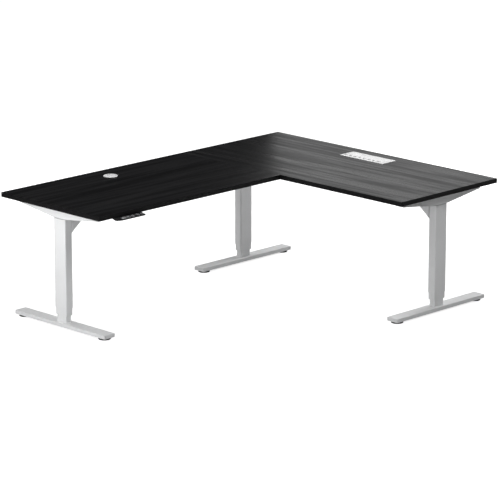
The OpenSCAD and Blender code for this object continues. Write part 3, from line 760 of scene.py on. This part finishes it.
def control_box_details():
    """Cooling fins below, pins in the sockets of both ends, and cover screws."""
    low, high = (Vector(corner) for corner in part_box("control_box"))
    left = low.x + BOX_EAR
    right = high.x - BOX_EAR
    middle_y = (low.y + high.y) / 2

    fin_t, fin_pitch, fin_half = 3 * MM, 8 * MM, 26 * MM
    bm = bmesh.new()
    for k in range(13):
        x = left + 70 * MM + k * fin_pitch
        near = (x, middle_y - fin_half, low.z - 1.2 * MM)
        far = (x + fin_t, middle_y + fin_half, low.z + 1 * MM)
        box_solid(bm, near, far, 0.5 * MM)
    detail("control_box_fins", "control_box", bm, M["black_plastic"])

    pin_len, pin_w = 2 * MM, 0.8 * MM
    bm = bmesh.new()
    for socket_y in (-32, -17, -2):
        for k in range(3):
            for z in (12.5, 17.0):
                pin = (left + 0.6 * MM, middle_y + (socket_y + 2.2 + 2.8 * k) * MM, low.z + z * MM)
                box_solid(bm, pin, (pin[0] + pin_len, pin[1] + pin_w, pin[2] + pin_w), 0.15 * MM, 1)
    blade_w, blade_h = 2 * MM, 6 * MM
    for y in (-8, 0, 8):
        blade_z = 16 if y else 11
        blade = (right - 3 * MM, middle_y + (y - 1) * MM, low.z + blade_z * MM - blade_h / 2)
        box_solid(bm, blade, (right - 0.4 * MM, blade[1] + blade_w, blade[2] + blade_h), 0.3 * MM, 1)
    detail("control_box_pins", "control_box", bm, M["brass"], "brass")

    recess = (2.0 * MM, 0.45 * MM)
    outline = cross(*recess)
    head_r, head_h = 3.6 * MM, 1.5 * MM
    bm = bmesh.new()
    for x in (left + 9 * MM, right - 9 * MM):
        for y in (-31, 31):
            place = Matrix.Translation((x, middle_y + y * MM, low.z - 1.0 * MM))
            turned(bm, (
                (0, 0.9 * MM), (outline, 0.9 * MM), (outline, 0.05 * MM), (2.8 * MM, 0), (head_r, 0.7 * MM),
                (head_r, head_h), (0, head_h),
            ), cross_angles(*recess), place)
    detail("control_box_screws", "control_box", bm, M["zinc"], "zinc_steel")


control_box_details()

LEG_MIDDLES = [box_middle("foot_" + leg).xy for leg in LEGS]
MOTOR_AXIS_H = 28 * MM
MOTOR_CAP_R = 22 * MM
MOTOR_BAND_R = (23.6 * MM, 24.4 * MM)
MOTOR_SIDES = 40


def motor_details():
    """End cap and three bands on each gear motor."""
    bm = bmesh.new()
    for part in loose_parts("gear_motors"):
        centre = middle_of(part).xy
        column = min(LEG_MIDDLES, key=lambda middle: (middle - centre).length)
        along = (centre - column).to_3d().normalized()
        start = column.to_3d()
        far = max(Vector((v.x, v.y, 0)).dot(along) for v in part)
        axis_z = min(v.z for v in part) + MOTOR_AXIS_H
        end = start + along * (far - start.dot(along)) + Vector((0, 0, axis_z))
        place = Matrix.Translation(end) @ along.to_track_quat("Z", "Y").to_matrix().to_4x4()
        turned(bm, (
            (0, 1.2 * MM), (4 * MM, 1.2 * MM), (6 * MM, 2.4 * MM), (10 * MM, 2.4 * MM), (11 * MM, 1.0 * MM),
            (MOTOR_CAP_R - 2 * MM, 1.0 * MM), (MOTOR_CAP_R, -0.2 * MM), (0, -0.2 * MM),
        ), ring(MOTOR_SIDES), place)
        inner, outer = MOTOR_BAND_R
        for k in range(3):
            z = -(14 + 18 * k) * MM
            pipe(bm, (
                (inner, z), (outer, z + 0.4 * MM), (outer, z + 1.8 * MM), (inner, z + 2.2 * MM),
            ), ring(MOTOR_SIDES), place)
    detail("gear_motor_caps", "gear_motors", bm, M["dark_metal"])


motor_details()


def port_rib():
    """Low rib along the top of the port's lid."""
    low, high = (Vector(corner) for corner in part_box("port_lid"))
    inset = 12 * MM
    near = (low.x + 24 * MM, low.y + inset, high.z - 0.2 * MM)
    far = (low.x + 26 * MM, high.y - inset, high.z + 0.3 * MM)
    bm = bmesh.new()
    box_solid(bm, near, far, 0.2 * MM)
    detail("port_lid_rib", "port_lid", bm, M["white_plastic"])


port_rib()
for node in NODES:
    if node.startswith("glide_"):
        glide(node)

# ---------------------------------------------------------------- keypad marks

PAD_SLOPE = math.radians(11)
PAD_NORMAL = Vector((0, -math.sin(PAD_SLOPE), math.cos(PAD_SLOPE)))
INK = 0.12 * MM


def on_pad(node, lift):
    """Matrix on the keypad's slope, lifted square to it from a node's middle, X along the keypad."""
    return Matrix.Translation(box_middle(node) + PAD_NORMAL * lift) @ Matrix.Rotation(PAD_SLOPE, 4, "X")


def slab(bm, outline, place, height=INK):
    """Adds a flat solid on the XY plane of place, from its outline in metres."""
    low = [bm.verts.new(place @ Vector((x, y, 0))) for x, y in outline]
    high = [bm.verts.new(place @ Vector((x, y, height))) for x, y in outline]
    faces = [bm.faces.new(low), bm.faces.new(high)]
    for i in range(len(low)):
        j = (i + 1) % len(low)
        faces.append(bm.faces.new((low[i], low[j], high[j], high[i])))
    bmesh.ops.recalc_face_normals(bm, faces=faces)


def bar(bm, x, y, width, tall, place, height=INK):
    slab(bm, ((x, y), (x + width, y), (x + width, y + tall), (x, y + tall)), place, height)


# From a key's middle up to the keypad's face, and up to the foot of the mark on the key
RING_LIFT = 1.7 * MM
MARK_LIFT = 2.0 * MM
RAISED = 0.45 * MM
STROKE = 1.1 * MM
RING_GAP = 1.0 * MM
RING_SUNK = 0.1 * MM


def arrow(bm, place, up):
    s = 1 if up else -1
    slab(bm, ((-3.6 * MM, -2.0 * s * MM), (3.6 * MM, -2.0 * s * MM), (0, 3.4 * s * MM)), place, RAISED)


def digit_one(bm, place):
    bar(bm, -0.5 * MM, -3.2 * MM, STROKE, 6.4 * MM, place, RAISED)
    flag = ((-0.2 * MM, 3.1 * MM), (-0.2 * MM, 1.8 * MM), (-2.1 * MM, 1.0 * MM), (-2.1 * MM, 2.1 * MM))
    slab(bm, flag, place, RAISED)


def digit_two(bm, place):
    for y in (-3.2, -0.55, 2.1):
        bar(bm, -2.0 * MM, y * MM, 4.0 * MM, STROKE, place, RAISED)
    bar(bm, 2.0 * MM - STROKE, 0.45 * MM, STROKE, 1.75 * MM, place, RAISED)
    bar(bm, -2.0 * MM, -2.2 * MM, STROKE, 1.75 * MM, place, RAISED)


KEY_MARKS = {
    "key_down": lambda bm, place: arrow(bm, place, False),
    "key_up": lambda bm, place: arrow(bm, place, True),
    "key_one": digit_one,
    "key_two": digit_two,
}
for key, draw in KEY_MARKS.items():
    bm = bmesh.new()
    draw(bm, on_pad(key, MARK_LIFT))
    detail(key + "_mark", key, bm, M["mark"], "white_plastic")
    low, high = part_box(key)
    inner = (high[0] - low[0]) / 2 + RING_GAP
    outer = inner + STROKE
    bm = bmesh.new()
    outline = ((inner, -RING_SUNK), (outer, -RING_SUNK), (outer, INK), (inner, INK))
    pipe(bm, outline, ring(48), on_pad(key, RING_LIFT))
    detail(key + "_ring", "keypad_housing", bm, M["mark"], "white_plastic")

# Lit bars of each figure, lettered clockwise from the top, with g in the middle
SEGMENTS = {"6": "acdefg", "7": "abc", "5": "acdfg"}
DIGIT_W = 5.0 * MM
DIGIT_H = 9.6 * MM
DIGIT_STROKE = 1.0 * MM
DIGIT_SPACE = 3.2 * MM
SEGMENT_GAP = 0.15 * MM
WINDOW_LIFT = 0.85 * MM


def display_digits(text):
    """Seven-segment height reading on the display window, with a point before the last figure."""
    width, thick, gap = DIGIT_W, DIGIT_STROKE, SEGMENT_GAP
    half = DIGIT_H / 2
    across = width - 2 * gap
    bars = {
        "a": (gap, DIGIT_H - thick, across, thick),
        "b": (width - thick, half + gap, thick, half - gap),
        "c": (width - thick, 0, thick, half - gap),
        "d": (gap, 0, across, thick),
        "e": (0, 0, thick, half - gap),
        "f": (0, half + gap, thick, half - gap),
        "g": (gap, half - thick / 2, across, thick),
    }
    pitch = width + DIGIT_SPACE
    start = -(pitch * len(text) - DIGIT_SPACE) / 2
    place = on_pad("keypad_display", WINDOW_LIFT)
    bm = bmesh.new()
    for k, figure in enumerate(text):
        for segment in SEGMENTS[figure]:
            x, y, w, h = bars[segment]
            bar(bm, start + k * pitch + x, y - half, w, h, place)
    point_x = start + (len(text) - 1) * pitch - 2.1 * MM
    bar(bm, point_x, -half, thick, thick, place)
    detail("display_digits", "keypad_display", bm, M["lit"], "white_plastic")


display_digits("675")

# ---------------------------------------------------------------- stage and light

FLOOR_SIZE = 120
FLOOR_DROP = 0.2 * MM
FLOOR_GREY = 0.5
# Glow that the camera sees at the desk and beyond, and the distances between which it grows
FLOOR_GLOW = (0.84, 1.0)
FLOOR_FADE = (1.6, 4.0)
# Brightness of the surroundings, and where they darken: the direction and the cosines from it
WORLD_DIM = 0.07
WORLD_DARK = 0.01
DARK_SIDE = (45, 15)
DARK_COSINES = (0.6, 0.9)
STUDIO_RADIUS = 4.2
STUDIO_AIM = Vector((0.0, 0.1, 0.3))
# Name, direction in degrees clockwise from +Y, degrees above the horizon, size, power
STUDIO_LIGHTS = (
    ("right_soft", 90, 15, (2.2, 1.6), 117),
    ("back_soft", 0, 15, (2.2, 1.6), 76),
    ("front_soft", 180, 45, (2.2, 1.6), 47),
    ("left_back_soft", 315, 45, (2.2, 1.6), 29),
    ("front_left_soft", 225, 15, (2.2, 1.6), 10),
)


def compass(azimuth, height):
    """Unit vector from degrees clockwise from +Y and degrees above the horizon."""
    a, h = math.radians(azimuth), math.radians(height)
    return Vector((math.sin(a) * math.cos(h), math.cos(a) * math.cos(h), math.sin(h)))


def make_floor():
    """Pale floor that stays near white to the camera without lighting the desk from below."""
    bm = bmesh.new()
    bmesh.ops.create_grid(bm, x_segments=1, y_segments=1, size=FLOOR_SIZE / 2)
    s = Shader("pale_floor", Specular_IOR_Level=0.0, Roughness=1.0)
    s.surface.inputs["Base Color"].default_value = (FLOOR_GREY, FLOOR_GREY, FLOOR_GREY, 1)
    s.surface.inputs["Emission Color"].default_value = (1, 1, 1, 1)
    seen = s.add("ShaderNodeLightPath").outputs["Is Camera Ray"]
    reach = s.add("ShaderNodeVectorMath", operation="LENGTH")
    s.link(s.place, reach.inputs[0])
    glow = s.spread(reach.outputs["Value"], *FLOOR_FADE, *FLOOR_GLOW)
    s.link(s.math("MULTIPLY", seen, glow), s.surface.inputs["Emission Strength"])
    floor = mesh_object("floor", bm, s.material)
    floor.location.z = -FLOOR_DROP


def area_light(name, at, look_at, extent, power, spread=180, mirrored=False):
    """A panel light that the camera doesn't see, and that shows in reflections only if mirrored."""
    light = bpy.data.lights.new(name, "AREA")
    light.shape = "RECTANGLE"
    light.size, light.size_y = extent
    light.energy = power
    light.spread = math.radians(spread)
    lamp = bpy.data.objects.new(name, light)
    lamp.location = at
    lamp.rotation_euler = (Vector(look_at) - Vector(at)).to_track_quat("-Z", "Y").to_euler()
    lamp.visible_camera = False
    lamp.visible_glossy = mirrored
    bpy.context.scene.collection.objects.link(lamp)


def make_world():
    """Soft surroundings: white to the camera, dim to the desk, dark where the tops mirror them."""
    world = bpy.data.worlds.new("studio")
    world.use_nodes = True
    bpy.context.scene.world = world
    tree = world.node_tree
    background = tree.nodes["Background"]
    place = tree.nodes.new("ShaderNodeTexCoord")
    dot = tree.nodes.new("ShaderNodeVectorMath")
    dot.operation = "DOT_PRODUCT"
    dot.inputs[1].default_value = compass(*DARK_SIDE)
    dark = tree.nodes.new("ShaderNodeMapRange")
    dark.interpolation_type = "SMOOTHSTEP"
    keys = ("From Min", "From Max", "To Min", "To Max")
    for key, number in zip(keys, (*DARK_COSINES, WORLD_DIM, WORLD_DARK)):
        dark.inputs[key].default_value = number
    tree.links.new(place.outputs["Generated"], dot.inputs[0])
    tree.links.new(dot.outputs["Value"], dark.inputs["Value"])
    seen = tree.nodes.new("ShaderNodeLightPath")
    mix = tree.nodes.new("ShaderNodeMix")
    mix.data_type = "FLOAT"
    tree.links.new(seen.outputs["Is Camera Ray"], mix.inputs["Factor"])
    tree.links.new(dark.outputs["Result"], mix.inputs["A"])
    mix.inputs["B"].default_value = 1.0
    tree.links.new(mix.outputs["Result"], background.inputs["Strength"])
    background.inputs["Color"].default_value = (1, 1, 1, 1)


make_floor()
make_world()
for name, azimuth, height, extent, power in STUDIO_LIGHTS:
    at = Vector((0, 0, STUDIO_AIM.z)) + compass(azimuth, height) * STUDIO_RADIUS
    area_light(name, at, STUDIO_AIM, extent, power)
area_light("near_left", (-2.6, 0.2, 0.9), (-0.95, 0.4, 0.35), (1.4, 1.4), 25)
area_light("low_left", (-2.3, 0.1, 0.2), (-0.97, 0.45, 0.66), (0.5, 0.3), 0.15, 30)
area_light("overhead", (0.1, 0.2, 4.2), (0.1, 0.2, 0.7), (2.2, 1.6), 56)

# Panel behind the return top, mirrored in its laminate
PANEL_EDGE = (1.59, 1.39)
PANEL_WIDTH = 2.2
PANEL_TOP = 2.3
PANEL_POWER = 9.8
PANEL_FACING = Vector((-0.707, -0.707, 0))
across = compass(90 + CAMERA_YAW, 0)
middle = Vector((*PANEL_EDGE, 0)) + across * PANEL_WIDTH / 2 + Vector((0, 0, PANEL_TOP / 2))
extent = (PANEL_WIDTH, PANEL_TOP)
area_light("return_panel", middle, middle + PANEL_FACING, extent, PANEL_POWER, mirrored=True)
